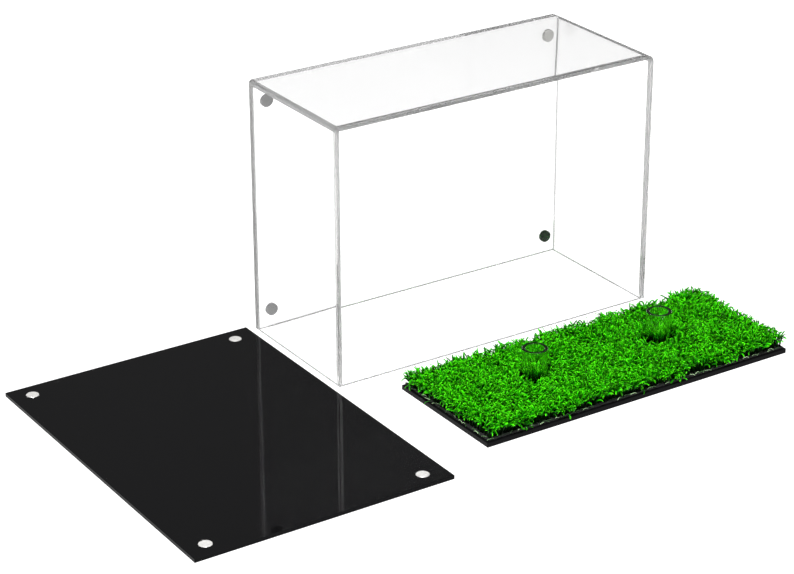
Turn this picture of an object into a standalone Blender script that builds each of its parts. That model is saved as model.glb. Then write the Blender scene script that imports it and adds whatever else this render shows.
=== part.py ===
"""Clear display case for a football, with its three loose groups laid out side by side.

The turf base lies at the origin.  Behind it stands the clear cover, open at the bottom, and to the
cover's left the black back panel lies flat with its magnets facing up.  To put the case together,
the panel is stood up against the cover's back wall, where the two sets of magnets meet, and the
cover is lowered over the base.  Everything is in metres, with +Z up and the front towards -Y.
"""

import math

import bmesh
import bpy
from mathutils import Matrix

# Cover: one sheet bent into top and right side, a left wall bonded under the top's sawn edge, and a
# flat wall on the front and the back.  The sawn edge is rounded over along its upper corner.
CASE_WIDTH = 0.4445
CASE_DEPTH = 0.1905
CASE_HEIGHT = 0.3175
WALL = 0.006
BEND_RADIUS = 0.009
LEFT_CORNER_RADIUS = 0.0045
BEND_STEPS = 10

# Parts that touch keep this much air between their solids.
GAP = 0.0003

# Disc magnets, on one pattern shared by the cover's back wall and the back panel.  The pattern's
# middle sits a little below the sheet's middle.
MAGNET_RADIUS = 0.0075
MAGNET_SPACING_WIDE = 0.402
MAGNET_SPACING_HIGH = 0.266
MAGNET_DROP = 0.0015
COVER_MAGNET_THICK = 0.005
PANEL_MAGNET_THICK = 0.003
MAGNET_CHAMFER = 0.0004
MAGNET_SIDES = 40

# Black back panel, as wide and as high as the cover's back wall.
PANEL_THICK = 0.005

# Turf base: the plate drops into the cover's open bottom, clear of the lower magnets.
PLATE_THICK = 0.006
PLATE_CLEARANCE = 0.001
PLATE_WIDTH = CASE_WIDTH - 2 * WALL - 2 * PLATE_CLEARANCE
PLATE_DEPTH = CASE_DEPTH - 2 * WALL - COVER_MAGNET_THICK - GAP - 2 * PLATE_CLEARANCE
POLISHED_EDGE = 0.0005

# Turf mat: a woven backing with the pile standing on it.
TURF_INSET = 0.003
BACKING_THICK = 0.002
PILE_HEIGHT = 0.0155
PILE_EDGE = 0.002

# Risers: two lengths of clear tube, pushed down into the pile.
RISER_RADIUS = 0.015
RISER_BORE_RADIUS = 0.011
RISER_LENGTH = 0.044
RISER_SPACING = 0.180
RISER_CHAMFER = 0.0005
TURN_STEPS = 48
STITCH_LAYER = 0.0012

# Where each loose group is laid out: the centre of its footprint, from the base's centre.
COVER_PLACE = (-0.0493, 0.2253, 0.0)
PANEL_PLACE = (-0.4436, 0.0985, 0.0)

BACKING_TOP = PLATE_THICK + GAP + BACKING_THICK
PILE_BOTTOM = BACKING_TOP + GAP
PILE_TOP = PILE_BOTTOM + PILE_HEIGHT
RISER_BOTTOM = PILE_BOTTOM + STITCH_LAYER + GAP

# Stands a flat drawing up: its Y becomes Z, and its thickness runs along Y.
UPRIGHT = Matrix.Rotation(math.radians(90.0), 3, "X")


def clear_scene():
    for old in list(bpy.data.objects):
        bpy.data.objects.remove(old, do_unlink=True)


def make_collection(name):
    collection = bpy.data.collections.new(name)
    bpy.context.scene.collection.children.link(collection)
    return collection


def make_material(name, colour, roughness, metallic=0.0, transmission=0.0):
    material = bpy.data.materials.new(name)
    material.use_nodes = True
    shader = material.node_tree.nodes["Principled BSDF"]
    shader.inputs["Base Color"].default_value = (*colour, 1.0)
    shader.inputs["Roughness"].default_value = roughness
    shader.inputs["Metallic"].default_value = metallic
    shader.inputs["Transmission Weight"].default_value = transmission
    material.diffuse_color = (*colour, 1.0 - 0.75 * transmission)
    return material


def finish_part(part, name, collection, material, parent, place):
    """Name a part, give it its material and hang it on the frame of its group."""
    part.name = name
    part.data.name = name
    part.data.materials.clear()
    part.data.materials.append(material)
    for holder in list(part.users_collection):
        holder.objects.unlink(part)
    collection.objects.link(part)
    part.parent = parent
    part.location = place
    return part


def group_frame(name, collection, place, parent=None):
    """An empty at a loose group's own centre, on the axis that the group is lifted along."""
    frame = bpy.data.objects.new(name, None)
    frame.empty_display_size = 0.03
    frame.location = place
    frame.parent = parent
    collection.objects.link(frame)
    return frame


def add_box(size):
    bpy.ops.mesh.primitive_cube_add(size=1.0, location=(0.0, 0.0, 0.0))
    box = bpy.context.object
    box.scale = size
    bpy.ops.object.transform_apply(location=False, rotation=False, scale=True)
    return box


def add_disc(radius, thickness):
    bpy.ops.mesh.primitive_cylinder_add(
        vertices=MAGNET_SIDES, radius=radius, depth=thickness, location=(0.0, 0.0, 0.0))
    return bpy.context.object


def add_bevel(part, width, segments=1):
    bevel = part.modifiers.new("polished edge", "BEVEL")
    bevel.width = width
    bevel.segments = segments
    bevel.limit_method = "ANGLE"
    bevel.angle_limit = math.radians(40.0)


def shade_round(part):
    part.data.shade_smooth()
    part.data.set_sharp_from_angle(angle=math.radians(35.0))


def cut(part, cutter, collection, name):
    """Cut a part with another, which is kept out of the model in the cutters' collection."""
    for holder in list(cutter.users_collection):
        holder.objects.unlink(cutter)
    collection.objects.link(cutter)
    cutter.name = name
    cutter.hide_render = True
    cutter.display_type = "WIRE"
    boolean = part.modifiers.new(name, "BOOLEAN")
    boolean.operation = "DIFFERENCE"
    boolean.solver = "EXACT"
    boolean.object = cutter


def arc(centre_x, centre_z, radius, start, end, steps):
    """Points along a quarter bend, angles in degrees."""
    points = []
    for step in range(steps + 1):
        angle = math.radians(start + (end - start) * step / steps)
        points.append((centre_x + radius * math.cos(angle), centre_z + radius * math.sin(angle)))
    return points


def top_left_corner():
    """The rounded-over upper corner of the top's sawn edge, upwards."""
    return arc(-CASE_WIDTH / 2 + LEFT_CORNER_RADIUS, CASE_HEIGHT - LEFT_CORNER_RADIUS,
               LEFT_CORNER_RADIUS, 180.0, 90.0, BEND_STEPS)


def top_right_bend(inset):
    """The bend from top to right side, downwards: its outside, or its inside one wall further in."""
    return arc(CASE_WIDTH / 2 - BEND_RADIUS, CASE_HEIGHT - BEND_RADIUS,
               BEND_RADIUS - inset, 90.0, 0.0, BEND_STEPS)


def add_upright_sheet(outline, thickness):
    """A flat outline in X and Z, given its thickness along Y."""
    curve = bpy.data.curves.new("outline", "CURVE")
    curve.dimensions = "2D"
    curve.fill_mode = "BOTH"
    curve.extrude = thickness / 2
    spline = curve.splines.new("POLY")
    spline.points.add(len(outline) - 1)
    for point, (x, z) in zip(spline.points, outline):
        point.co = (x, z, 0.0, 1.0)
    spline.use_cyclic_u = True
    drawn = bpy.data.objects.new("outline", curve)
    bpy.context.scene.collection.objects.link(drawn)
    bpy.context.view_layer.update()
    evaluated = drawn.evaluated_get(bpy.context.evaluated_depsgraph_get())
    mesh = bpy.data.meshes.new_from_object(evaluated)
    shape = bmesh.new()
    shape.from_mesh(mesh)
    bmesh.ops.remove_doubles(shape, verts=shape.verts, dist=0.00001)
    bmesh.ops.rotate(shape, verts=shape.verts, matrix=UPRIGHT)
    bmesh.ops.recalc_face_normals(shape, faces=shape.faces)
    shape.to_mesh(mesh)
    shape.free()
    sheet = bpy.data.objects.new("sheet", mesh)
    bpy.context.scene.collection.objects.link(sheet)
    bpy.data.objects.remove(drawn, do_unlink=True)
    return sheet


def add_turned_ring(inner, outer, low, high, chamfer=0.0):
    """A ring turned about Z: its section runs down the outer side and back up the bore."""
    section = [
        (outer - chamfer, high), (outer, high - chamfer),
        (outer, low + chamfer), (outer - chamfer, low),
        (inner + chamfer, low), (inner, low + chamfer),
        (inner, high - chamfer), (inner + chamfer, high),
    ]
    if chamfer == 0.0:
        section = [(outer, high), (outer, low), (inner, low), (inner, high)]
    mesh = bpy.data.meshes.new("ring")
    shape = bmesh.new()
    corners = [shape.verts.new((radius, 0.0, height)) for radius, height in section]
    for corner, following in zip(corners, corners[1:] + corners[:1]):
        shape.edges.new((corner, following))
    shape.to_mesh(mesh)
    shape.free()
    ring = bpy.data.objects.new("ring", mesh)
    bpy.context.scene.collection.objects.link(ring)
    screw = ring.modifiers.new("turned", "SCREW")
    screw.steps = TURN_STEPS
    screw.render_steps = TURN_STEPS
    screw.use_merge_vertices = True
    screw.merge_threshold = 0.00001
    return ring


def magnet_pattern():
    """The four magnets' places across and up, named as seen from the front."""
    places = []
    for row, up in (("lower", -0.5), ("upper", 0.5)):
        for side, across in (("left", -0.5), ("right", 0.5)):
            name = row + "_" + side
            places.append((name, across * MAGNET_SPACING_WIDE, up * MAGNET_SPACING_HIGH - MAGNET_DROP))
    return places


def make_base(parts, cutters, materials):
    frame = group_frame("base_frame", parts, (0.0, 0.0, 0.0))

    plate = add_box((PLATE_WIDTH, PLATE_DEPTH, PLATE_THICK))
    add_bevel(plate, POLISHED_EDGE)
    finish_part(plate, "base_plate", parts, materials["black"], frame, (0.0, 0.0, PLATE_THICK / 2))

    mat_width = PLATE_WIDTH - 2 * TURF_INSET
    mat_depth = PLATE_DEPTH - 2 * TURF_INSET
    backing = add_box((mat_width, mat_depth, BACKING_THICK))
    finish_part(backing, "turf_backing", parts, materials["backing"], frame,
                (0.0, 0.0, BACKING_TOP - BACKING_THICK / 2))

    pile = add_box((mat_width, mat_depth, PILE_HEIGHT))
    add_bevel(pile, PILE_EDGE, segments=2)
    finish_part(pile, "turf_pile", parts, materials["grass"], frame,
                (0.0, 0.0, (PILE_BOTTOM + PILE_TOP) / 2))
    for side, across in (("left", -0.5), ("right", 0.5)):
        seat = add_turned_ring(RISER_BORE_RADIUS - GAP, RISER_RADIUS + GAP,
                               RISER_BOTTOM - GAP, PILE_TOP + 0.001)
        seat.location = (across * RISER_SPACING, 0.0, 0.0)
        seat.parent = frame
        cut(pile, seat, cutters, "riser_seat_" + side)
    return frame


def make_risers(parts, materials, base_frame):
    for side, across in (("left", -0.5), ("right", 0.5)):
        frame = group_frame("riser_%s_frame" % side, parts,
                            (across * RISER_SPACING, 0.0, RISER_BOTTOM), base_frame)
        tube = add_turned_ring(RISER_BORE_RADIUS, RISER_RADIUS, 0.0, RISER_LENGTH, RISER_CHAMFER)
        shade_round(tube)
        finish_part(tube, "riser_" + side, parts, materials["clear"], frame, (0.0, 0.0, 0.0))


def make_cover(parts, materials):
    frame = group_frame("cover_frame", parts, COVER_PLACE)

    half_width = CASE_WIDTH / 2
    between_walls = CASE_DEPTH - 2 * WALL - 2 * GAP
    bent = [(-half_width, CASE_HEIGHT - WALL)] + top_left_corner() + top_right_bend(0.0)
    bent += [(half_width, 0.0), (half_width - WALL, 0.0)] + top_right_bend(WALL)[::-1]
    sheet = add_upright_sheet(bent, between_walls)
    finish_part(sheet, "cover_bent_sheet", parts, materials["clear"], frame, (0.0, 0.0, 0.0))

    left_height = CASE_HEIGHT - WALL - GAP
    left = add_box((WALL, between_walls, left_height))
    finish_part(left, "cover_left_wall", parts, materials["clear"], frame,
                ((WALL - CASE_WIDTH) / 2, 0.0, left_height / 2))

    face = [(-half_width, 0.0)] + top_left_corner() + top_right_bend(0.0) + [(half_width, 0.0)]
    wall_middle = (CASE_DEPTH - WALL) / 2
    for name, side in (("cover_front_wall", -1.0), ("cover_back_wall", 1.0)):
        wall = add_upright_sheet(face, WALL)
        finish_part(wall, name, parts, materials["clear"], frame, (0.0, side * wall_middle, 0.0))

    magnet_middle = CASE_DEPTH / 2 - WALL - GAP - COVER_MAGNET_THICK / 2
    for name, across, up in magnet_pattern():
        magnet = add_disc(MAGNET_RADIUS, COVER_MAGNET_THICK)
        add_bevel(magnet, MAGNET_CHAMFER)
        shade_round(magnet)
        finish_part(magnet, "cover_magnet_" + name, parts, materials["nickel"], frame,
                    (across, magnet_middle, CASE_HEIGHT / 2 + up))
        magnet.rotation_euler = (math.radians(90.0), 0.0, 0.0)


def make_back_panel(parts, cutters, materials):
    """The panel lies on its back: its top end is towards +X and its left side towards +Y."""
    frame = group_frame("back_panel_frame", parts, PANEL_PLACE)
    panel = add_box((CASE_HEIGHT, CASE_WIDTH, PANEL_THICK))
    add_bevel(panel, POLISHED_EDGE)
    finish_part(panel, "back_panel", parts, materials["black"], frame, (0.0, 0.0, PANEL_THICK / 2))
    for name, across, up in magnet_pattern():
        pocket_depth = PANEL_MAGNET_THICK + GAP
        pocket = add_disc(MAGNET_RADIUS + GAP, 2 * pocket_depth)
        pocket.location = (up, -across, PANEL_THICK)
        pocket.parent = frame
        cut(panel, pocket, cutters, "magnet_pocket_" + name)
        magnet = add_disc(MAGNET_RADIUS, PANEL_MAGNET_THICK)
        add_bevel(magnet, MAGNET_CHAMFER)
        shade_round(magnet)
        finish_part(magnet, "panel_magnet_" + name, parts, materials["nickel"], frame,
                    (up, -across, PANEL_THICK - PANEL_MAGNET_THICK / 2))


def main():
    clear_scene()
    parts = make_collection("football_display_case")
    cutters = make_collection("cutters")
    materials = {
        "clear": make_material("clear_acrylic", (0.93, 0.95, 0.95), 0.03, transmission=1.0),
        "black": make_material("black_acrylic", (0.010, 0.010, 0.011), 0.05),
        "nickel": make_material("nickel_plate", (0.72, 0.72, 0.71), 0.22, metallic=1.0),
        "grass": make_material("turf_fibre", (0.055, 0.42, 0.018), 0.45),
        "backing": make_material("turf_backing_weave", (0.012, 0.014, 0.012), 0.85),
    }
    base_frame = make_base(parts, cutters, materials)
    make_risers(parts, materials, base_frame)
    make_cover(parts, materials)
    make_back_panel(parts, cutters, materials)


main()
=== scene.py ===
"""Looks for a football display case: a clear cover, a black back panel and a turf base, laid out."""
import math

import bmesh
import bpy
import numpy as np
from bpy.props import FloatProperty, FloatVectorProperty, IntProperty, PointerProperty, StringProperty
from mathutils import Matrix, Vector


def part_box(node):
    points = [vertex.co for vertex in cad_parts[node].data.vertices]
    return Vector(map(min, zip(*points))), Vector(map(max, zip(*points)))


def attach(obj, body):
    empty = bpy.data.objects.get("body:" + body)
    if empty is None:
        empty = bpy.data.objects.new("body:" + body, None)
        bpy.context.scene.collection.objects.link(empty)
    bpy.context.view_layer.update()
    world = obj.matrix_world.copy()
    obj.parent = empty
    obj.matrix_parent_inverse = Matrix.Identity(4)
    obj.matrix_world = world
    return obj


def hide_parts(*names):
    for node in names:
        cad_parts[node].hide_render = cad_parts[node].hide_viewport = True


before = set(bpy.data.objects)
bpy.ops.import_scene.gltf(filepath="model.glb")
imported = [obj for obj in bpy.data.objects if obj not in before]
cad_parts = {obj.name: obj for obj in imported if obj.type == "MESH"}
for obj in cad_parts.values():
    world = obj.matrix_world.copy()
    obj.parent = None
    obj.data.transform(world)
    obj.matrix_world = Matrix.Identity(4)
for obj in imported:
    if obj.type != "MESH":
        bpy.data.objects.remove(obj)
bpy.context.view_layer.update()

bl_info = {
    "name": "Football Display Case",
    "version": (1, 0, 0),
    "blender": (4, 5, 0),
    "location": "View3D > Sidebar > Display Case",
    "description": "Builds a clear display case with a black back panel and a turf base",
    "category": "Object",
}

MM = 0.001
ACRYLIC_IOR = 1.49
RISER_WALL = 4 * MM


# ---------------------------------------------------------------- sizes read from the frame

def node_box(name):
    """A CAD node's lowest and highest corners, its middle and its size."""
    low, high = (Vector(corner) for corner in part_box(name))
    return low, high, (low + high) / 2, high - low


def cover_box():
    """The cover's lowest and highest corners."""
    return node_box("cover_front_wall")[0], node_box("cover_back_wall")[1]


def sheet_thickness():
    """How thick the cover's clear sheet is."""
    return node_box("cover_front_wall")[3].y


def riser_seats():
    """Each riser's middle in X and Y, and its outer radius."""
    boxes = [node_box("riser_" + side) for side in ("left", "right")]
    return [(np.array(middle[:2]), size.x / 2) for _, _, middle, size in boxes]


# ---------------------------------------------------------------- settings a user would change

def length_setting(name, description, default):
    return FloatProperty(name=name, description=description, default=default,
                         unit="LENGTH", subtype="DISTANCE")


def colour_setting(name, description, default):
    """A colour as an sRGB hex value."""
    return StringProperty(name=name, description=description, default=default)


class AcrylicSettings(bpy.types.PropertyGroup):
    clear_tint: colour_setting(
        "Clear tint", "Colour of the clear sheet, seen flat on", "#FFFFFF")
    black_colour: colour_setting(
        "Black", "Colour of the black sheet", "#080809")
    black_edge_gloss: FloatProperty(
        name="Black edge gloss", description="Specular level of the black sheet's sawn edges",
        default=0.06, min=0.0, max=1.0)
    loss_colour: colour_setting(
        "Loss colour", "Colour left after a long way through clear sheet", "#DCDCDC")
    depth_loss: FloatProperty(
        name="Depth loss", description="Density of the clear sheet's absorption", default=3.0, min=0.0)
    tube_loss_colour: colour_setting(
        "Tube loss colour", "Colour left after a long way through clear tube", "#88AA88")
    tube_depth_loss: FloatProperty(
        name="Tube depth loss", description="Density of the clear tube's absorption", default=8.0, min=0.0)
    # painted shade: the tube's sawn ends are painted near black for the dark turf seen through the clear
    # tube
    painted_shade_tube_end_colour: colour_setting(
        "Tube end", "Colour of the clear tube's sawn ends", "#071006")
    bend_radius: length_setting(
        "Bend radius", "Outer radius of the cover's bend, at its right", 9 * MM)
    corner_radius: length_setting(
        "Corner radius", "Rounding of the sawn corner at the cover's left", 4.5 * MM)
    bend_segments: IntProperty(
        name="Bend segments", description="Faces round the bend and round the left corner",
        default=12, min=3)
    edge_chamfer: length_setting(
        "Edge chamfer", "Width of the polished chamfer on the sheet's edges", 0.4 * MM)
    cement_colour: colour_setting(
        "Cement", "Colour of the cement film", "#DADADA")
    thin_cement_colour: colour_setting(
        "Thin cement", "Colour of the cement film in the upright joints", "#E2E2E2")
    sawn_colour: colour_setting(
        "Sawn edge", "Colour of the sawn edge seen through the corner", "#C4C4C4")
    upright_colour: colour_setting(
        "Upright sawn edge", "Colour of the back wall's sawn left edge", "#ACACAC")
    # painted shade: a grey veil streaked along the hot bend, for the dark that the bend refracts
    painted_bend_shade_colour: colour_setting(
        "Bend shade", "Colour of the painted shade along the hot bend", "#A8A8A8")
    cement_thickness: length_setting(
        "Cement line", "Thickness of the cement film in the bonded joints", 0.16 * MM)


class MagnetSettings(bpy.types.PropertyGroup):
    plate_colour: colour_setting(
        "Nickel", "Colour of the bright nickel plating", "#E6E5E2")
    # painted shade: three cover magnets get this near-black colour, though they are the same nickel
    # magnets as the rest
    painted_shade_magnet_colour: colour_setting(
        "Magnet shade", "Colour painted on three cover magnets as shade", "#101011")


class TurfSettings(bpy.types.PropertyGroup):
    # painted shade: the root colour darkens the lower part of every blade, where shade falls deep in the
    # pile; the locking yarn takes it as its darkest stain
    root_shade_and_stain_colour: colour_setting(
        "Root", "Colour of the yarn at the backing", "#021802")
    blade_colour: colour_setting(
        "Blade", "Colour along most of a blade", "#1C9E03")
    # painted highlight: the tip colour brightens each blade's tip and tints its specular
    tip_highlight_colour: colour_setting(
        "Tip", "Colour of the brightest blade tips", "#52DC12")
    backing_colour: colour_setting(
        "Backing", "Colour of the woven backing", "#0D0F0D")
    stitch_colour: colour_setting(
        "Stitch", "Colour of the pale locking yarn", "#B9D9A8")
    stain_colour: colour_setting(
        "Stain", "Colour of the locking yarn where the grass stains it", "#2F5A26")
    stitch_width: length_setting(
        "Stitch width", "Width of the locking yarn", 0.8 * MM)
    blade_width: length_setting(
        "Blade width", "Width of one blade of yarn", 1.9 * MM)
    blade_length: length_setting(
        "Blade length", "Length of one blade from the backing", 18.5 * MM)
    row_gauge: length_setting(
        "Row gauge", "Distance between rows of tufts", 4.8 * MM)
    stitch_gauge: length_setting(
        "Stitch gauge", "Distance between tufts along a row", 4.6 * MM)
    blades_per_tuft: IntProperty(
        name="Blades in a tuft", description="Blades that stand in one stitch", default=7, min=1)
    seed: IntProperty(name="Seed", description="Seed of the random draws", default=11)


class StageSettings(bpy.types.PropertyGroup):
    paper_colour: colour_setting(
        "Paper", "Colour that the backdrop gives back", "#3F3F3F")
    paper_glow: FloatProperty(
        name="Paper glow", description="Brightness of the evenly lit backdrop", default=1.32)
    floor_radius: length_setting(
        "Floor radius", "Distance to the backdrop's wall", 7.0)
    wall_height: length_setting(
        "Wall height", "Height of the backdrop's wall", 1.42)
    view_turn: FloatProperty(
        name="View turn", description="Camera's turn from straight ahead",
        default=math.radians(33.158), subtype="ANGLE")
    view_rise: FloatProperty(
        name="View rise", description="Camera's height above the level",
        default=math.radians(24.428), subtype="ANGLE")
    view_roll: FloatProperty(
        name="View roll", description="Camera's roll", default=math.radians(-0.195), subtype="ANGLE")
    view_distance: length_setting(
        "View distance", "Camera's distance from its target", 2.8909)
    view_target: FloatVectorProperty(
        name="View target", description="Point the camera looks at",
        default=(-0.1843, 0.1421, 0.1), subtype="TRANSLATION")
    side_light: FloatProperty(
        name="Side light", description="Brightness of the dim studio above the backdrop",
        default=0.11)
    ceiling_light: FloatProperty(
        name="Ceiling light", description="Brightness of the studio's ceiling", default=0.9)
    lens: FloatProperty(name="Lens", description="Focal length in millimetres", default=113.55)


# ---------------------------------------------------------------- colours and nodes

def linear(hex_colour):
    """A hex sRGB colour as linear red, green, blue and alpha."""
    channels = []
    for start in (1, 3, 5):
        value = int(hex_colour[start:start + 2], 16) / 255
        channels.append(value / 12.92 if value <= 0.04045 else ((value + 0.055) / 1.055) ** 2.4)
    return (*channels, 1.0)


def new_material(name, inputs):
    """A material with its shader's sockets set, given with its node tree and its shader."""
    material = bpy.data.materials.new(name)
    material.use_nodes = True
    tree = material.node_tree
    shader = tree.nodes["Principled BSDF"]
    for socket, value in inputs.items():
        shader.inputs[socket].default_value = value
    return material, tree, shader


def add_node(tree, kind, settings=None, inputs=None, links=None):
    """Adds a node: its own settings, its sockets' values, and links from other nodes' sockets."""
    node = tree.nodes.new(kind)
    for name, value in (settings or {}).items():
        setattr(node, name, value)
    for name, value in (inputs or {}).items():
        node.inputs[name].default_value = value
    for name, source in (links or {}).items():
        tree.links.new(source, node.inputs[name])
    return node


def ramp_stops(node, stops):
    """Sets a colour ramp's stops, a position and a colour each."""
    elements = node.color_ramp.elements
    while len(elements) > len(stops):
        elements.remove(elements[-1])
    while len(elements) < len(stops):
        elements.new(1.0)
    for element, (position, colour) in zip(elements, stops):
        element.position = position
        element.color = colour


# ---------------------------------------------------------------- materials

def clear_acrylic(settings, name, loss_colour, loss_density, roughness=0.0):
    """Clear acrylic, polished by its mould: it loses light only over a long way through itself."""
    material, tree, _ = new_material(name, {
        "Base Color": linear(settings.clear_tint), "Transmission Weight": 1.0,
        "IOR": ACRYLIC_IOR, "Roughness": roughness})
    loss = add_node(tree, "ShaderNodeVolumeAbsorption",
                    inputs={"Color": linear(loss_colour), "Density": loss_density})
    tree.links.new(loss.outputs["Volume"], tree.nodes["Material Output"].inputs["Volume"])
    return material


def sawn_edge(settings, name, roughness):
    """The sheet's own edge, left sawn or polished by flame: clear, but it blurs what it carries."""
    material = clear_acrylic(settings, name, settings.loss_colour, settings.depth_loss, roughness)
    tree = material.node_tree
    place = add_node(tree, "ShaderNodeTexCoord")
    # the saw's marks are drawn coarser than the real ones, so that they show
    marks = add_node(tree, "ShaderNodeTexNoise", inputs={"Scale": 1 / (3.85 * MM), "Detail": 3.0},
                     links={"Vector": place.outputs["Object"]})
    bump = add_node(tree, "ShaderNodeBump", inputs={"Strength": 0.12, "Distance": 0.2 * MM},
                    links={"Height": marks.outputs["Fac"]})
    tree.links.new(bump.outputs["Normal"], tree.nodes["Principled BSDF"].inputs["Normal"])
    return material


def tube_end(settings):
    """The tube's sawn end, painted near black: painted shade in place of the dark turf that shows through
    the clear wall under it.
    """
    return new_material("tube end in painted shade", {
        "Base Color": linear(settings.painted_shade_tube_end_colour), "Roughness": 0.45,
        "Specular IOR Level": 0.1})[0]


def haze_film(name, tone, least, most, grain, stretch=(1.0, 1.0, 1.0)):
    """A grey veil in clear sheet: cement with its bubbles, a sawn edge, or painted shade along a hot bend.

    It hides from least to most of what lies behind it, in grains that stretch can draw out."""
    material, tree, shader = new_material(name, {
        "Base Color": linear(tone), "Roughness": 0.7, "Specular IOR Level": 0.0})
    place = add_node(tree, "ShaderNodeTexCoord")
    drawn_out = add_node(tree, "ShaderNodeMapping", inputs={"Scale": stretch},
                         links={"Vector": place.outputs["Object"]})
    bubbles = add_node(tree, "ShaderNodeTexNoise", inputs={"Scale": 1 / grain, "Detail": 3.0},
                       links={"Vector": drawn_out.outputs["Vector"]})
    patches = add_node(tree, "ShaderNodeTexNoise", inputs={"Scale": 1 / (71.4 * MM), "Detail": 1.0},
                       links={"Vector": place.outputs["Object"]})
    both = add_node(tree, "ShaderNodeMath", {"operation": "MULTIPLY"},
                    links={0: bubbles.outputs["Fac"], 1: patches.outputs["Fac"]})
    veil = add_node(tree, "ShaderNodeMapRange",
                    inputs={"From Min": 0.15, "From Max": 0.38, "To Min": most, "To Max": least},
                    links={"Value": both.outputs["Value"]})
    tree.links.new(veil.outputs["Result"], shader.inputs["Alpha"])
    return material


def black_acrylic(settings):
    """Black acrylic sheet: a mirror gloss on its faces, a saw's dull finish on its edges."""
    material, tree, shader = new_material("black cast acrylic sheet", {
        "Base Color": linear(settings.black_colour), "IOR": ACRYLIC_IOR})
    place = add_node(tree, "ShaderNodeTexCoord")
    facing = add_node(tree, "ShaderNodeSeparateXYZ", links={"Vector": place.outputs["Normal"]})
    level = add_node(tree, "ShaderNodeMath", {"operation": "ABSOLUTE"},
                     links={0: facing.outputs["Z"]})
    specular = add_node(tree, "ShaderNodeMapRange",
                        inputs={"To Min": settings.black_edge_gloss, "To Max": 0.5},
                        links={"Value": level.outputs["Value"]})
    tree.links.new(specular.outputs["Result"], shader.inputs["Specular IOR Level"])
    smears = add_node(tree, "ShaderNodeTexNoise", inputs={"Scale": 1 / (111.1 * MM), "Detail": 4.0},
                      links={"Vector": place.outputs["Object"]})
    dust = add_node(tree, "ShaderNodeTexNoise", inputs={"Scale": 1 / (1.111 * MM), "Detail": 2.0},
                    links={"Vector": place.outputs["Object"]})
    mixed = add_node(tree, "ShaderNodeMath", {"operation": "MULTIPLY"},
                     links={0: smears.outputs["Fac"], 1: dust.outputs["Fac"]})
    gloss = add_node(tree, "ShaderNodeMapRange",
                     inputs={"From Min": 0.1, "From Max": 0.5, "To Min": 0.015, "To Max": 0.06},
                     links={"Value": mixed.outputs["Value"]})
    tree.links.new(gloss.outputs["Result"], shader.inputs["Roughness"])
    return material


def nickel_plate(name, colour, metal):
    """Nickel on a pressed magnet: fine tumbling marks that soften its reflections."""
    material, tree, shader = new_material(name, {"Metallic": metal})
    place = add_node(tree, "ShaderNodeTexCoord")
    # the tumbling marks are drawn coarser than the real ones, so that they show
    marks = add_node(tree, "ShaderNodeTexNoise", inputs={"Scale": 1 / (2.38 * MM), "Detail": 5.0},
                     links={"Vector": place.outputs["Object"]})
    tone = add_node(tree, "ShaderNodeValToRGB", links={"Fac": marks.outputs["Fac"]})
    bright, worn = linear(colour), 0.72
    ramp_stops(tone, [(0.30, (*(worn * c for c in bright[:3]), 1.0)), (0.70, bright)])
    tree.links.new(tone.outputs["Color"], shader.inputs["Base Color"])
    gloss = add_node(tree, "ShaderNodeMapRange", inputs={"To Min": 0.25, "To Max": 0.5},
                     links={"Value": marks.outputs["Fac"]})
    tree.links.new(gloss.outputs["Result"], shader.inputs["Roughness"])
    bump = add_node(tree, "ShaderNodeBump", inputs={"Strength": 0.15, "Distance": 0.1 * MM},
                    links={"Height": marks.outputs["Fac"]})
    tree.links.new(bump.outputs["Normal"], shader.inputs["Normal"])
    return material


def turf_yarn(settings):
    """Polyethylene grass yarn: painted shade darkens each blade towards its root and a painted highlight
    brightens its tip; each blade a little different.
    """
    material, tree, shader = new_material("polyethylene grass yarn", {
        "Roughness": 0.38, "Specular IOR Level": 0.3, "Specular Tint": linear(settings.tip_highlight_colour)})
    along = add_node(tree, "ShaderNodeUVMap", {"uv_map": "blade"})
    split = add_node(tree, "ShaderNodeSeparateXYZ", links={"Vector": along.outputs["UV"]})
    # painted shade at the root, the blade's own colour above it, a painted highlight at the tip
    height = add_node(tree, "ShaderNodeValToRGB", links={"Fac": split.outputs["Y"]})
    ramp_stops(height, [(0.46, linear(settings.root_shade_and_stain_colour)), (0.8, linear(settings.blade_colour)),
                        (1.0, linear(settings.tip_highlight_colour))])
    shade = add_node(tree, "ShaderNodeMapRange", inputs={"To Min": 0.12, "To Max": 1.45},
                     links={"Value": split.outputs["X"]})
    tinted = add_node(tree, "ShaderNodeHueSaturation",
                      links={"Value": shade.outputs["Result"], "Color": height.outputs["Color"]})
    tree.links.new(tinted.outputs["Color"], shader.inputs["Base Color"])
    return material


def stitch_yarn(settings):
    """Pale polyester locking yarn, stained green here and there."""
    material, tree, shader = new_material("polyester locking yarn", {"Roughness": 0.6})
    along = add_node(tree, "ShaderNodeUVMap", {"uv_map": "blade"})
    split = add_node(tree, "ShaderNodeSeparateXYZ", links={"Vector": along.outputs["UV"]})
    stain = add_node(tree, "ShaderNodeValToRGB", links={"Fac": split.outputs["X"]})
    ramp_stops(stain, [(0.2, linear(settings.root_shade_and_stain_colour)), (0.6, linear(settings.stain_colour)),
                       (1.0, linear(settings.stitch_colour))])
    tree.links.new(stain.outputs["Color"], shader.inputs["Base Color"])
    return material


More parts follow.
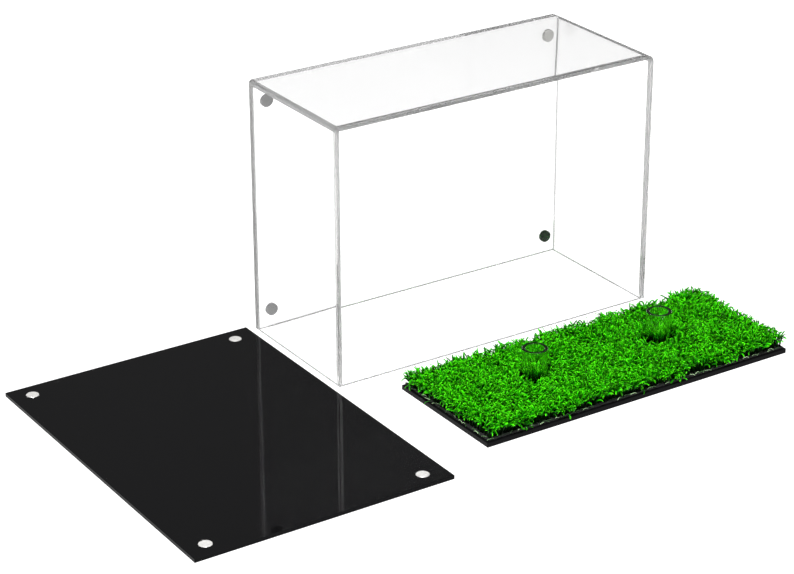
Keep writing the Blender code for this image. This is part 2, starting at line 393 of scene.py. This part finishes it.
def turf_backing_weave(settings):
    """Black woven polypropylene under a latex coat: a flat weave of 1.2 mm tapes."""
    material, tree, shader = new_material("woven polypropylene backing", {
        "Base Color": linear(settings.backing_colour), "Roughness": 0.8})
    place = add_node(tree, "ShaderNodeTexCoord")
    tape = 1.2 * MM
    weave = add_node(tree, "ShaderNodeTexChecker", inputs={"Scale": 1.0 / tape},
                     links={"Vector": place.outputs["Object"]})
    bump = add_node(tree, "ShaderNodeBump", inputs={"Strength": 0.6, "Distance": 0.3 * MM},
                    links={"Height": weave.outputs["Fac"]})
    tree.links.new(bump.outputs["Normal"], shader.inputs["Normal"])
    return material


def backdrop_paper(settings):
    """White studio sweep, lit so evenly that it shows no shade of its own."""
    return new_material("white studio sweep", {
        "Base Color": linear(settings.paper_colour), "Roughness": 1.0, "Specular IOR Level": 0.0,
        "Emission Color": linear("#FFFFFF"), "Emission Strength": settings.paper_glow})[0]


# ---------------------------------------------------------------- mesh helpers

def make_piece(name, shape, materials, smooth=False):
    """Turns a finished bmesh into an object at the origin."""
    mesh = bpy.data.meshes.new(name)
    shape.to_mesh(mesh)
    shape.free()
    for material in materials:
        mesh.materials.append(material)
    if smooth:
        mesh.shade_smooth()
        mesh.set_sharp_from_angle(angle=math.radians(35.0))
    piece = bpy.data.objects.new(name, mesh)
    bpy.context.scene.collection.objects.link(piece)
    return piece


def spin_round(shape, x=0.0, y=0.0):
    """Turns a profile right round the upright line through x and y."""
    bmesh.ops.spin(shape, geom=list(shape.verts) + list(shape.edges), steps=96, angle=math.tau,
                   cent=(x, y, 0.0), axis=(0.0, 0.0, 1.0), use_merge=True)


def along_y(edge):
    """Whether an edge runs from the front to the back."""
    way = edge.verts[1].co - edge.verts[0].co
    return abs(way.y) > 0.9 * way.length


def paint(node_name, material):
    """Gives a CAD node that is shown as it is a finished material."""
    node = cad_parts[node_name]
    for slot in node.material_slots:
        slot.material = material
    if not node.material_slots:
        node.data.materials.append(material)


# ---------------------------------------------------------------- pieces

def round_corner(middle_x, middle_z, radius, start, end, steps):
    """Points round a corner in X and Z, angles in degrees."""
    points = []
    for step in range(steps + 1):
        angle = math.radians(start + (end - start) * step / steps)
        points.append((middle_x + radius * math.cos(angle), middle_z + radius * math.sin(angle)))
    return points


def left_corner(settings, depth):
    """The cover's rounded top left corner, from the side up to the top, at a depth in the sheet."""
    low, high = cover_box()
    radius = settings.corner_radius
    return round_corner(low.x + radius, high.z - radius, radius - depth, 180.0, 90.0,
                        settings.bend_segments)


def right_bend(settings, depth):
    """The cover's bend at the top right, from the top down to the side, at a depth in the sheet."""
    _, high = cover_box()
    radius = settings.bend_radius
    return round_corner(high.x - radius, high.z - radius, radius - depth, 90.0, 0.0,
                        settings.bend_segments)


def cover_outline(settings):
    """The cover's outside seen from the front, from left foot to right foot."""
    low, high = cover_box()
    return ([(low.x, low.z)] + left_corner(settings, 0.0) + right_bend(settings, 0.0)
            + [(high.x, low.z)])


def cover_inline(settings, wall):
    """The cover's inside seen from the front, from right foot to left foot."""
    low, high = cover_box()
    return ([(high.x - wall, low.z)] + right_bend(settings, wall)[::-1]
            + [(low.x + wall, high.z - wall), (low.x + wall, low.z)])


def oblong(x_low, x_high, z_low, z_high):
    """The outline of an oblong in X and Z."""
    return [(x_low, z_low), (x_high, z_low), (x_high, z_high), (x_low, z_high)]


def plate_shape(outline, y_low, y_high):
    """A closed plate: an outline in X and Z, given a thickness along Y."""
    shape = bmesh.new()
    corners = [shape.verts.new((x, y_low, z)) for x, z in outline]
    face = shape.faces.new(corners)
    grown = bmesh.ops.extrude_face_region(shape, geom=[face])
    far = [g for g in grown["geom"] if isinstance(g, bmesh.types.BMVert)]
    bmesh.ops.translate(shape, verts=far, vec=(0.0, y_high - y_low, 0.0))
    bmesh.ops.triangulate(shape, faces=shape.faces)
    bmesh.ops.recalc_face_normals(shape, faces=shape.faces)
    return shape


def cover_shape(settings):
    """The bonded cover as one closed shell, open at its foot, its long edges chamfered."""
    low, high = cover_box()
    wall = sheet_thickness()
    shape = bmesh.new()
    rings = []
    for outline, near, far in ((cover_outline(settings), low.y, high.y),
                               (cover_inline(settings, wall), low.y + wall, high.y - wall)):
        front, back = [[shape.verts.new((x, y, z)) for x, z in outline] for y in (near, far)]
        rings.append((front, back))
        shape.faces.new(front)
        shape.faces.new(back[::-1])
        for i in range(len(outline) - 1):
            shape.faces.new((front[i], front[i + 1], back[i + 1], back[i]))
    (out_front, out_back), (in_front, in_back) = rings
    outer = (out_front[0], out_front[-1], out_back[-1], out_back[0])
    inner = (in_front[-1], in_front[0], in_back[0], in_back[-1])
    for i in range(4):
        j = (i + 1) % 4
        shape.faces.new((outer[i], outer[j], inner[j], inner[i]))
    rim = [e for e in shape.edges if not along_y(e) and len(e.link_faces) == 2
           and all(min(v.co.y - low.y, high.y - v.co.y) < 0.01 * MM for v in e.verts)
           and e.calc_face_angle(0.0) > math.radians(60.0)]
    bmesh.ops.bevel(shape, geom=rim, offset=settings.edge_chamfer, offset_type="OFFSET", segments=1,
                    profile=0.5, affect="EDGES", material=-1, clamp_overlap=True)
    for joint in (low.y + wall, high.y - wall):
        geometry = list(shape.verts) + list(shape.edges) + list(shape.faces)
        bmesh.ops.bisect_plane(shape, geom=geometry, plane_co=(0.0, joint, 0.0),
                               plane_no=(0.0, 1.0, 0.0))
    bmesh.ops.recalc_face_normals(shape, faces=shape.faces)
    return shape


def mark_finishes(shape):
    """Numbers the cover's faces: 0 moulded faces, 1 flame-polished edges, 2 its sawn foot."""
    low, high = cover_box()
    wall = sheet_thickness()
    for face in shape.faces:
        middle = face.calc_center_median()
        front_top = middle.y < low.y + wall and face.normal.z > 0.3
        back_left = middle.y > high.y - wall and face.normal.x < -0.3
        polished = abs(face.normal.y) < 0.9 and (front_top or back_left)
        foot = face.normal.z < -0.9 and middle.z < low.z + 0.1 * MM
        face.material_index = 2 if foot else 1 if polished else 0


class CASE_OT_cover(bpy.types.Operator):
    """Clear cover: bent sheet, left wall, front wall and back wall bonded into one"""
    bl_idname = "display_case.cover"
    bl_label = "Clear cover"

    def execute(self, context):
        settings = context.scene.case_acrylic
        shape = cover_shape(settings)
        mark_finishes(shape)
        clear = clear_acrylic(settings, "clear cast acrylic sheet",
                              settings.loss_colour, settings.depth_loss)
        polished = sawn_edge(settings, "flame-polished acrylic edge", 0.08)
        foot = sawn_edge(settings, "sawn acrylic edge", 0.6)
        piece = make_piece("cover_acrylic", shape, [clear, polished, foot], smooth=True)
        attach(piece, "cover")
        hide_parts("cover_bent_sheet", "cover_left_wall", "cover_front_wall", "cover_back_wall")
        return {"FINISHED"}


class CASE_OT_joints(bpy.types.Operator):
    """Cement lines in the cover's joints, its sawn edges and a veil of painted shade along its bend"""
    bl_idname = "display_case.joints"
    bl_label = "Joints and bend"

    def execute(self, context):
        settings = context.scene.case_acrylic
        low, high = cover_box()
        wall = sheet_thickness()
        thick = settings.cement_thickness
        # a film ends this far inside the sheet, so that clear acrylic closes over it
        skin = 0.3 * MM
        bubble, tooth = 2.38 * MM, 3.33 * MM
        cement = haze_film("solvent cement line", settings.cement_colour, 0.2, 0.7, bubble)
        pale = haze_film("thin solvent cement", settings.thin_cement_colour, 0.35, 0.6, bubble,
                         (1.0, 1.0, 0.2))
        sawn = haze_film("sawn edge in cement", settings.sawn_colour, 0.45, 0.75, tooth,
                         (1.0, 0.1, 1.0))
        upright = haze_film("sawn upright edge", settings.upright_colour, 0.6, 0.85, tooth,
                            (1.0, 1.0, 0.1))
        # painted shade: a grey veil streaked along the bend
        bend_shade_veil = haze_film("painted shade in the hot bend", settings.painted_bend_shade_colour, 0.35, 0.75, tooth,
                           (1.0, 0.03, 1.0))

        foot, under_top = low.z + skin, high.z - wall
        over_front = ([(low.x + skin, under_top)] + left_corner(settings, skin)
                      + right_bend(settings, skin) + right_bend(settings, wall - skin)[::-1])
        near_edge, far_edge = ([(low.x + depth, under_top)] + left_corner(settings, depth)
                               for depth in (skin, skin + thick))
        edge_of_top = near_edge + far_edge[::-1]
        bent = right_bend(settings, skin) + right_bend(settings, skin + thick)[::-1]
        lap = oblong(low.x + skin, low.x + wall - skin, under_top - thick / 2, under_top + thick / 2)
        left_side = oblong(low.x + skin, low.x + wall - skin, foot, under_top)
        left_edge = oblong(low.x + skin, low.x + skin + thick, foot, under_top)
        right_side = oblong(high.x - wall + skin, high.x - skin, foot, high.z - settings.bend_radius)

        front_joint, back_joint = ((y - thick / 2, y + thick / 2)
                                   for y in (low.y + wall, high.y - wall))
        in_back_wall = (high.y - wall + skin, high.y - skin)
        front_to_back = (low.y + skin, high.y - skin)
        between_walls = (low.y + wall + MM, high.y - wall - MM)
        for name, line, reach, material in (
                ("cement_front", over_front, front_joint, cement),
                ("cement_front_left", left_side, front_joint, pale),
                ("cement_front_right", right_side, front_joint, pale),
                ("cement_back_left", left_side, back_joint, cement),
                ("cement_back_right", right_side, back_joint, pale),
                ("sawn_edge_back_left", left_edge, in_back_wall, upright),
                ("cement_top_left", lap, between_walls, cement),
                ("sawn_edge_top_left", edge_of_top, front_to_back, sawn),
                ("bend_right", bent, between_walls, bend_shade_veil)):
            piece = make_piece("cover_" + name, plate_shape(line, *reach), [material])
            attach(piece, "cover")
        return {"FINISHED"}


class CASE_OT_magnets(bpy.types.Operator):
    """Disc magnets on the cover and in the panel"""
    bl_idname = "display_case.magnets"
    bl_label = "Magnets"

    def execute(self, context):
        settings = context.scene.case_magnets
        bright = nickel_plate("nickel plated magnet", settings.plate_colour, 0.4)
        # painted shade: the cover's magnets, all but its upper right one, are painted near black; they are
        # the same nickel magnets as the panel's
        dull = nickel_plate("nickel plated magnet in painted shade", settings.painted_shade_magnet_colour, 0.5)
        for row in ("lower", "upper"):
            for side in ("left", "right"):
                paint("cover_magnet_%s_%s" % (row, side),
                      bright if (row, side) == ("upper", "right") else dull)
                paint("panel_magnet_%s_%s" % (row, side), bright)
        return {"FINISHED"}


class CASE_OT_black_sheets(bpy.types.Operator):
    """Black back panel and base plate"""
    bl_idname = "display_case.black_sheets"
    bl_label = "Black sheets"

    def execute(self, context):
        gloss = black_acrylic(context.scene.case_acrylic)
        paint("back_panel", gloss)
        paint("base_plate", gloss)
        return {"FINISHED"}


class CASE_OT_risers(bpy.types.Operator):
    """Clear tube risers, sawn to length with their edges eased"""
    bl_idname = "display_case.risers"
    bl_label = "Risers"

    def execute(self, context):
        settings = context.scene.case_acrylic
        clear = clear_acrylic(settings, "clear extruded acrylic tube",
                              settings.tube_loss_colour, settings.tube_depth_loss)
        end = tube_end(settings)
        eased = 0.4 * MM
        for side in ("left", "right"):
            node = "riser_" + side
            low, high, middle, size = node_box(node)
            outer, bore = size.x / 2, size.x / 2 - RISER_WALL
            section = [(outer - eased, high.z), (outer, high.z - eased), (outer, low.z + eased),
                       (outer - eased, low.z), (bore + eased, low.z), (bore, low.z + eased),
                       (bore, high.z - eased), (bore + eased, high.z)]
            shape = bmesh.new()
            corners = [shape.verts.new((middle.x + r, middle.y, z)) for r, z in section]
            for corner, following in zip(corners, corners[1:] + corners[:1]):
                shape.edges.new((corner, following))
            spin_round(shape, middle.x, middle.y)
            bmesh.ops.recalc_face_normals(shape, faces=shape.faces)
            # the sawn ends take the near-black painted shade
            for face in shape.faces:
                face.material_index = 1 if abs(face.normal.z) > 0.9 else 0
            piece = make_piece(node + "_tube", shape, [clear, end], smooth=True)
            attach(piece, node)
            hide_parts(node)
        return {"FINISHED"}


def skin_of_rings(shape, rings, clockwise=False):
    """Closes a row of rings, all run round one way, into a skin; gives its corners' numbers."""
    order = -1 if clockwise else 1
    shape.faces.new(rings[0][::-order])
    shape.faces.new(rings[-1][::order])
    for one, two in zip(rings, rings[1:]):
        for i in range(len(one)):
            j = (i + 1) % len(one)
            shape.faces.new((one[i], *(one[j], two[j], two[i])[::order]))
    bmesh.ops.triangulate(shape, faces=shape.faces)
    shape.verts.index_update()
    triangles = np.array([[v.index for v in f.verts] for f in shape.faces])
    shape.free()
    return triangles


def yarn_template(sides, steps):
    """A short loop of round yarn: its section's points, its centre line and its faces."""
    shape = bmesh.new()
    across, line, rings = [], [], []
    for step in range(steps + 1):
        angle = math.pi * step / steps
        ring = []
        for side in range(sides):
            around = math.tau * (side + 0.5) / sides
            out = Vector((math.cos(angle) * math.cos(around), math.sin(around),
                          math.sin(angle) * math.cos(around))) * 0.5
            ring.append(shape.verts.new((len(across), 0.0, 0.0)))
            across.append(out)
            line.append((math.cos(angle), math.sin(angle)))
        rings.append(ring)
    return np.array(across), np.array(line), skin_of_rings(shape, rings, clockwise=True)


def turned(x, y, angle):
    """Points turned about the origin of X and Y, or of any two axes given in that order."""
    s, c = np.sin(angle), np.cos(angle)
    return x * c - y * s, x * s + y * c


def copied_faces(faces, copies, corners):
    """A template's faces once for each copy, each copy's corners numbered on from the last."""
    return (faces[None] + (np.arange(copies) * corners)[:, None, None]).reshape(-1, 3)


def lock_stitches(settings, draws, low, high):
    """Loops of the locking yarn that show round the backing's edge, as points, faces and map values."""
    across, line, faces = yarn_template(sides=4, steps=7)
    gauge, shown, sunk = 5 * MM, 0.8, 0.4 * MM
    spots = []
    for start, end in (((low.x, low.y), (high.x, low.y)), ((low.x, low.y), (low.x, high.y)),
                       ((low.x, high.y), (high.x, high.y)), ((high.x, low.y), (high.x, high.y))):
        start, end = np.array(start), np.array(end)
        count = int(np.linalg.norm(end - start) / gauge)
        shares = (np.arange(count) + draws.uniform(0.2, 0.8, count)) / count
        way = math.atan2(*(end - start)[::-1])
        for share in shares[draws.uniform(size=count) < shown]:
            spots.append((*(start + (end - start) * share), way + draws.normal(0.0, 0.35)))
    spots = np.array(spots)
    n, m = len(spots), len(across)
    reach = draws.uniform(2.2, 4.6, (n, 1)) * MM
    rise = draws.uniform(0.6, 2.2, (n, 1)) * MM
    x = line[:, 0] * reach + across[:, 0] * settings.stitch_width
    y = across[:, 1] * settings.stitch_width + draws.normal(0.0, 0.5 * MM, (n, 1))
    z = line[:, 1] * rise + across[:, 2] * settings.stitch_width
    x, y = turned(x, y, spots[:, 2:])
    placed = np.stack([x + spots[:, :1], y + spots[:, 1:2], z + high.z - sunk], axis=2)
    values = np.stack([np.broadcast_to(draws.uniform(size=(n, 1)), (n, m)),
                       np.full((n, m), 0.5)], axis=2)
    return placed.reshape(-1, 3), copied_faces(faces, n, m), values.reshape(-1, 2)


class CASE_OT_turf_backing(bpy.types.Operator):
    """Woven backing of the turf mat, cut a little unevenly, and its pale locking yarn"""
    bl_idname = "display_case.turf_backing"
    bl_label = "Turf backing"

    def execute(self, context):
        settings = context.scene.case_turf
        draws = np.random.default_rng(settings.seed + 1)
        low, high, middle, size = node_box("turf_backing")
        cell, ragged, uneven = 4 * MM, 0.25 * MM, 0.12 * MM
        shape = bmesh.new()
        bmesh.ops.create_grid(shape, x_segments=round(size.x / cell),
                              y_segments=round(size.y / cell), size=0.5)
        bmesh.ops.scale(shape, verts=shape.verts, vec=(size.x, size.y, 1.0))
        for corner in [v for v in shape.verts if v.is_boundary]:
            corner.co += Vector((*draws.normal(0.0, ragged, 2), 0.0))
        grown = bmesh.ops.extrude_face_region(shape, geom=list(shape.faces))
        top = [g for g in grown["geom"] if isinstance(g, bmesh.types.BMVert)]
        bmesh.ops.translate(shape, verts=top, vec=(0.0, 0.0, size.z))
        for corner in top:
            corner.co.z -= abs(draws.normal(0.0, uneven))
        bmesh.ops.translate(shape, verts=shape.verts, vec=(middle.x, middle.y, low.z))
        bmesh.ops.recalc_face_normals(shape, faces=shape.faces)
        piece = make_piece("turf_backing_weave", shape, [turf_backing_weave(settings)])
        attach(piece, "base")
        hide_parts("turf_backing")

        piece = copies_piece("turf_lock_stitches", [lock_stitches(settings, draws, low, high)],
                             stitch_yarn(settings))
        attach(piece, "base")
        return {"FINISHED"}


# a blade's curl and twist in radians; the blades that stand in a riser's bore have a curl of their own
CURLS = (0.7, 1.2, 1.7, 2.2, 2.9)
BORE_CURL = 0.4
TWISTS = (-0.9, 0.1, 1.0)


def blade_template(curl, twist):
    """One blade: a flat ridged ribbon, straight at its foot, curled over and twisted at its tip.

    Gives its section's points for a width of one, its centre line for a length of one, and its
    faces, so that a copy can be given its own length and width."""
    stations = (0.0, 0.56, 0.7, 0.81, 0.91, 1.0)
    spread = (0.8, 1.0, 1.0, 1.0, 0.95, 0.7)
    straight, ridge = 0.5, 0.26
    shape = bmesh.new()
    across, line, rings = [], [], []
    place, lean, before = Vector((0.0, 0.0, 0.0)), 0.0, 0.0
    for station, wide in zip(stations, spread):
        lean_next = curl * (max(0.0, station - straight) / (1.0 - straight)) ** 1.1
        way = (lean + lean_next) / 2
        place = place + Vector((0.0, math.sin(way), math.cos(way))) * (station - before)
        lean, before = lean_next, station
        turn = Matrix.Rotation(-lean, 3, "X") @ Matrix.Rotation(twist * station, 3, "Z")
        ring = []
        for x, y in ((-0.5, 0.0), (0.5, 0.0), (0.0, ridge)):
            ring.append(shape.verts.new((len(across), 0.0, 0.0)))
            across.append(turn @ Vector((x * wide, y, 0.0)))
            line.append((place.y, place.z, station))
        rings.append(ring)
    return np.array(across), np.array(line), skin_of_rings(shape, rings)


def copies_piece(name, parts, material):
    """Joins many placed copies into one piece.  parts holds points, faces and map values."""
    points = np.concatenate([p for p, _, _ in parts])
    starts = np.cumsum([0] + [len(p) for p, _, _ in parts[:-1]])
    faces = np.concatenate([f + start for (_, f, _), start in zip(parts, starts)])
    values = np.concatenate([v for _, _, v in parts])
    mesh = bpy.data.meshes.new(name)
    mesh.vertices.add(len(points))
    mesh.vertices.foreach_set("co", points.astype(np.float32).ravel())
    mesh.loops.add(faces.size)
    mesh.loops.foreach_set("vertex_index", faces.astype(np.int32).ravel())
    mesh.polygons.add(len(faces))
    mesh.polygons.foreach_set("loop_start", np.arange(0, faces.size, 3, dtype=np.int32))
    mesh.update(calc_edges=True)
    layer = mesh.uv_layers.new(name="blade")
    layer.data.foreach_set("uv", values[faces.ravel()].astype(np.float32).ravel())
    mesh.materials.append(material)
    mesh.shade_smooth()
    mesh.validate()
    piece = bpy.data.objects.new(name, mesh)
    bpy.context.scene.collection.objects.link(piece)
    return piece


def nearness(distance, reach):
    """One where the distance is nothing, falling evenly to nothing at the reach."""
    return np.clip(1 - distance / reach, 0, 1)


def keep_clear(points, centre, outer):
    """Pushes the blades off a riser's wall: in the bore they stay inside, elsewhere outside."""
    air = 0.4 * MM
    within, beyond = outer - RISER_WALL - air, outer + air
    offset = points[:, :2] - centre
    distance = np.linalg.norm(offset, axis=1)
    inside = distance < (within + beyond) / 2
    wanted = np.where(inside, np.minimum(distance, within), np.maximum(distance, beyond))
    points[:, :2] = centre + offset * (wanted / np.maximum(distance, 1e-6))[:, None]


def tuft_roots(settings, draws, low, high, seats):
    """The tufts' places: in rows, each a little off its stitch, and none under a riser's wall."""
    left, right, near, far = 3.2 * MM, 2.5 * MM, 2.6 * MM, 2.0 * MM
    stray, in_bore, outside = 0.6 * MM, 0.8 * MM, 3.4 * MM
    xs = np.arange(low.x + left, high.x - right, settings.row_gauge)
    ys = np.arange(low.y + near, high.y - far, settings.stitch_gauge)
    roots = np.array([(x, y) for x in xs for y in ys])
    roots = roots + draws.normal(0.0, stray, roots.shape)
    for centre, outer in seats:
        distance = np.linalg.norm(roots - centre, axis=1)
        roots = roots[(distance < outer - RISER_WALL - in_bore) | (distance > outer + outside)]
    return roots


def lie_of_pile(draws, roots, low, high, seats):
    """How far each tuft is pushed over in X and Y, and what share of its length it keeps."""
    reach, shortest, in_bore = 9 * MM, 0.35, 1.3
    # the pile lies over in patches, which open dark partings between them
    waves = draws.uniform(-1.0, 1.0, (7, 4))
    phase = roots @ (waves[:, :2].T * 90.0) + waves[:, 2] * math.pi
    drift = np.stack([np.cos(phase).sum(axis=1), np.sin(phase * 1.3 + 1.0).sum(axis=1)],
                     axis=1) * 0.11
    # at the mat's edges it leans outwards
    push = np.stack([nearness(high[axis] - roots[:, axis], reach)
                     - nearness(roots[:, axis] - low[axis], reach) for axis in (0, 1)], axis=1) * 0.05
    # one wide parting lies to the left of the left riser
    beside = roots - (seats[0][0] + np.array((-33 * MM, 12 * MM)))
    distance = np.linalg.norm(beside, axis=1)
    opened = nearness(distance, 11 * MM)
    push += beside / np.maximum(distance, MM)[:, None] * opened[:, None] * 0.75
    length = 1 - shortest * opened
    # and round a riser it leans away and is pressed short
    for centre, outer in seats:
        away = roots - centre
        distance = np.linalg.norm(away, axis=1)
        near = nearness(distance - outer, reach) * (distance > outer)
        push += away / distance[:, None] * near[:, None] * 0.5
        length = np.where(near > 0, 1 - shortest * near, length)
        length = np.where(distance < outer, in_bore, length)
    return drift + push, length


def draw_blades(settings, draws, roots, push, share):
    """Each blade's own kind, turns, length, width, tint and foot, drawn at random."""
    count = len(roots)
    curled, kinds = len(CURLS) * len(TWISTS), (len(CURLS) + 1) * len(TWISTS)
    kind = draws.integers(0, curled, count)
    # a riser's bore holds its blades upright
    upright = share > 1.0
    kind[upright] = draws.integers(curled, kinds, upright.sum())
    tilt = np.where(upright[:, None], 0.2, 1.0) * (draws.normal(0.0, 0.24, (count, 2)) + push)
    return {
        "kind": kind,
        "lean": np.minimum(np.linalg.norm(tilt, axis=1), 1.15),
        "turn": np.arctan2(tilt[:, 1], tilt[:, 0]) - math.pi / 2,
        "spin": draws.normal(0.0, 1.1, count),
        "length": settings.blade_length * draws.uniform(0.82, 1.15, count) * share,
        "width": settings.blade_width * draws.uniform(0.7, 1.25, count),
        "tint": np.where(upright, draws.uniform(0.8, 1.0, count), draws.uniform(0.0, 1.0, count)),
        "foot": roots + draws.normal(0.0, 0.5 * MM, (count, 2))}


def placed_blades(template, blades, chosen, ground, seats):
    """The chosen blades stood on the backing, as points, faces and map values."""
    across, line, faces = template
    n, m = len(chosen), len(across)
    wide, long, tint = (blades[name][chosen][:, None] for name in ("width", "length", "tint"))
    spin, lean, turn = (blades[name][chosen][:, None] for name in ("spin", "lean", "turn"))
    x = across[:, 0] * wide
    y = across[:, 1] * wide + line[:, 0] * long
    z = across[:, 2] * wide + line[:, 1] * long
    x, y = turned(x, y, spin)
    y, z = turned(y, z, -lean)
    x, y = turned(x, y, turn)
    foot, above = blades["foot"][chosen], 0.2 * MM
    placed = np.stack([x + foot[:, :1], y + foot[:, 1:], np.maximum(z, above) + ground], axis=2)
    values = np.stack([np.broadcast_to(tint, (n, m)), np.broadcast_to(line[:, 2], (n, m))], axis=2)
    points = placed.reshape(-1, 3)
    for centre, outer in seats:
        keep_clear(points, centre, outer)
    return points, copied_faces(faces, n, m), values.reshape(-1, 2)


class CASE_OT_turf_pile(bpy.types.Operator):
    """Grass pile, tufted in rows and clear of the risers"""
    bl_idname = "display_case.turf_pile"
    bl_label = "Turf pile"

    def execute(self, context):
        settings = context.scene.case_turf
        draws = np.random.default_rng(settings.seed)
        low, high, _, size = node_box("turf_pile")
        seats = riser_seats()
        material = turf_yarn(settings)
        templates = [blade_template(curl, twist) for curl in (*CURLS, BORE_CURL) for twist in TWISTS]
        roots = tuft_roots(settings, draws, low, high, seats)
        push, share = lie_of_pile(draws, roots, low, high, seats)
        roots, push, share = (np.repeat(each, settings.blades_per_tuft, axis=0)
                              for each in (roots, push, share))
        blades = draw_blades(settings, draws, roots, push, share)
        quarter = np.digitize(roots[:, 0], [low.x + size.x * part for part in (0.25, 0.5, 0.75)])
        for index, name in enumerate(("far_left", "left", "right", "far_right")):
            parts = []
            for kind, template in enumerate(templates):
                chosen = np.flatnonzero((quarter == index) & (blades["kind"] == kind))
                parts.append(placed_blades(template, blades, chosen, low.z, seats))
            piece = copies_piece("turf_pile_" + name, parts, material)
            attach(piece, "base")
            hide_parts("turf_pile")
        return {"FINISHED"}


# each lamp's name, place and width in metres, and power in watts
LAMPS = (("overhead softbox", (-0.2, 0.3, 2.6), 1.6, 10.0),
         ("key softbox", (-1.3, -1.1, 2.4), 0.6, 120.0))
LAMP_AIM = (-0.1, 0.1, 0.1)


def sweep_shape(settings):
    """A round floor just under the pieces, curved up into a wall."""
    radius, height = settings.floor_radius, settings.wall_height
    curve, steps, drop = 0.5, 8, 0.2 * MM
    shape = bmesh.new()
    outline = [shape.verts.new((x, 0.0, -drop)) for x in (0.0, radius - curve)]
    for step in range(1, steps + 1):
        angle = math.radians(90.0 * step / steps)
        outline.append(shape.verts.new((radius - curve + curve * math.sin(angle), 0.0,
                                        curve - curve * math.cos(angle))))
    outline.append(shape.verts.new((radius, 0.0, height)))
    for one, two in zip(outline, outline[1:]):
        shape.edges.new((one, two))
    spin_round(shape)
    bmesh.ops.remove_doubles(shape, verts=shape.verts, dist=0.01 * MM)
    bmesh.ops.recalc_face_normals(shape, faces=shape.faces)
    bmesh.ops.reverse_faces(shape, faces=shape.faces)
    return shape


def light_studio(scene, settings):
    """A dim studio with a bright ceiling, and two soft lamps."""
    world = bpy.data.worlds.new("studio")
    world.use_nodes = True
    tree = world.node_tree
    background = tree.nodes["Background"]
    background.inputs["Color"].default_value = linear("#FFFFFF")
    way = add_node(tree, "ShaderNodeTexCoord")
    split = add_node(tree, "ShaderNodeSeparateXYZ", links={"Vector": way.outputs["Generated"]})
    # the ceiling's light sets in 46 degrees above the level and is full from 58 degrees
    ceiling = add_node(tree, "ShaderNodeMapRange",
                       inputs={"From Min": 0.72, "From Max": 0.85, "To Min": settings.side_light,
                               "To Max": settings.ceiling_light},
                       links={"Value": split.outputs["Z"]})
    tree.links.new(ceiling.outputs["Result"], background.inputs["Strength"])
    scene.world = world
    for name, place, size, power in LAMPS:
        lamp = bpy.data.lights.new(name, "AREA")
        lamp.shape = "SQUARE"
        lamp.size = size
        lamp.energy = power
        holder = bpy.data.objects.new(name, lamp)
        holder.location = place
        aim = Vector(LAMP_AIM) - Vector(place)
        holder.rotation_euler = aim.to_track_quat("-Z", "Y").to_euler()
        scene.collection.objects.link(holder)


def place_camera(scene, settings):
    """The camera, turned, raised and rolled about its target."""
    camera = bpy.data.cameras.new("camera")
    camera.lens = settings.lens
    camera.sensor_width = 36.0
    camera.clip_end = 100.0
    holder = bpy.data.objects.new("camera", camera)
    turn = (Matrix.Rotation(-settings.view_turn, 4, "Z")
            @ Matrix.Rotation(math.radians(90.0) - settings.view_rise, 4, "X")
            @ Matrix.Rotation(settings.view_roll, 4, "Z"))
    back = turn.to_3x3() @ Vector((0.0, 0.0, settings.view_distance))
    holder.matrix_world = Matrix.Translation(Vector(settings.view_target) + back) @ turn
    scene.collection.objects.link(holder)
    scene.camera = holder


class CASE_OT_stage(bpy.types.Operator):
    """White sweep, soft light and the camera"""
    bl_idname = "display_case.stage"
    bl_label = "Stage"

    def execute(self, context):
        scene = context.scene
        settings = scene.case_stage
        floor = make_piece("studio_sweep", sweep_shape(settings), [backdrop_paper(settings)], smooth=True)
        light_studio(scene, settings)
        place_camera(scene, settings)
        scene.view_settings.view_transform = "Standard"
        # light travels a long way inside clear sheet before it leaves by an edge
        scene.cycles.max_bounces = 96
        scene.cycles.glossy_bounces = 96
        scene.cycles.transmission_bounces = 96
        return {"FINISHED"}


class CASE_PT_panel(bpy.types.Panel):
    """Lists the pieces in build order"""
    bl_label = "Display Case"
    bl_idname = "CASE_PT_panel"
    bl_space_type = "VIEW_3D"
    bl_region_type = "UI"
    bl_category = "Display Case"

    def draw(self, context):
        for operator in BUILD_ORDER:
            self.layout.operator(operator.bl_idname)


BUILD_ORDER = (CASE_OT_cover, CASE_OT_joints, CASE_OT_magnets, CASE_OT_black_sheets,
               CASE_OT_turf_backing, CASE_OT_turf_pile, CASE_OT_risers, CASE_OT_stage)
SETTINGS = {"case_acrylic": AcrylicSettings, "case_magnets": MagnetSettings,
            "case_turf": TurfSettings, "case_stage": StageSettings}
CLASSES = (*SETTINGS.values(), *BUILD_ORDER, CASE_PT_panel)


def register():
    for each in CLASSES:
        bpy.utils.register_class(each)
    for name, group in SETTINGS.items():
        setattr(bpy.types.Scene, name, PointerProperty(type=group))


def unregister():
    for name in SETTINGS:
        delattr(bpy.types.Scene, name)
    for each in reversed(CLASSES):
        bpy.utils.unregister_class(each)


def main():
    register()
    bpy.ops.display_case.cover()
    bpy.ops.display_case.joints()
    bpy.ops.display_case.magnets()
    bpy.ops.display_case.black_sheets()
    bpy.ops.display_case.turf_backing()
    bpy.ops.display_case.turf_pile()
    bpy.ops.display_case.risers()
    bpy.ops.display_case.stage()


if __name__ == "__main__":
    main()
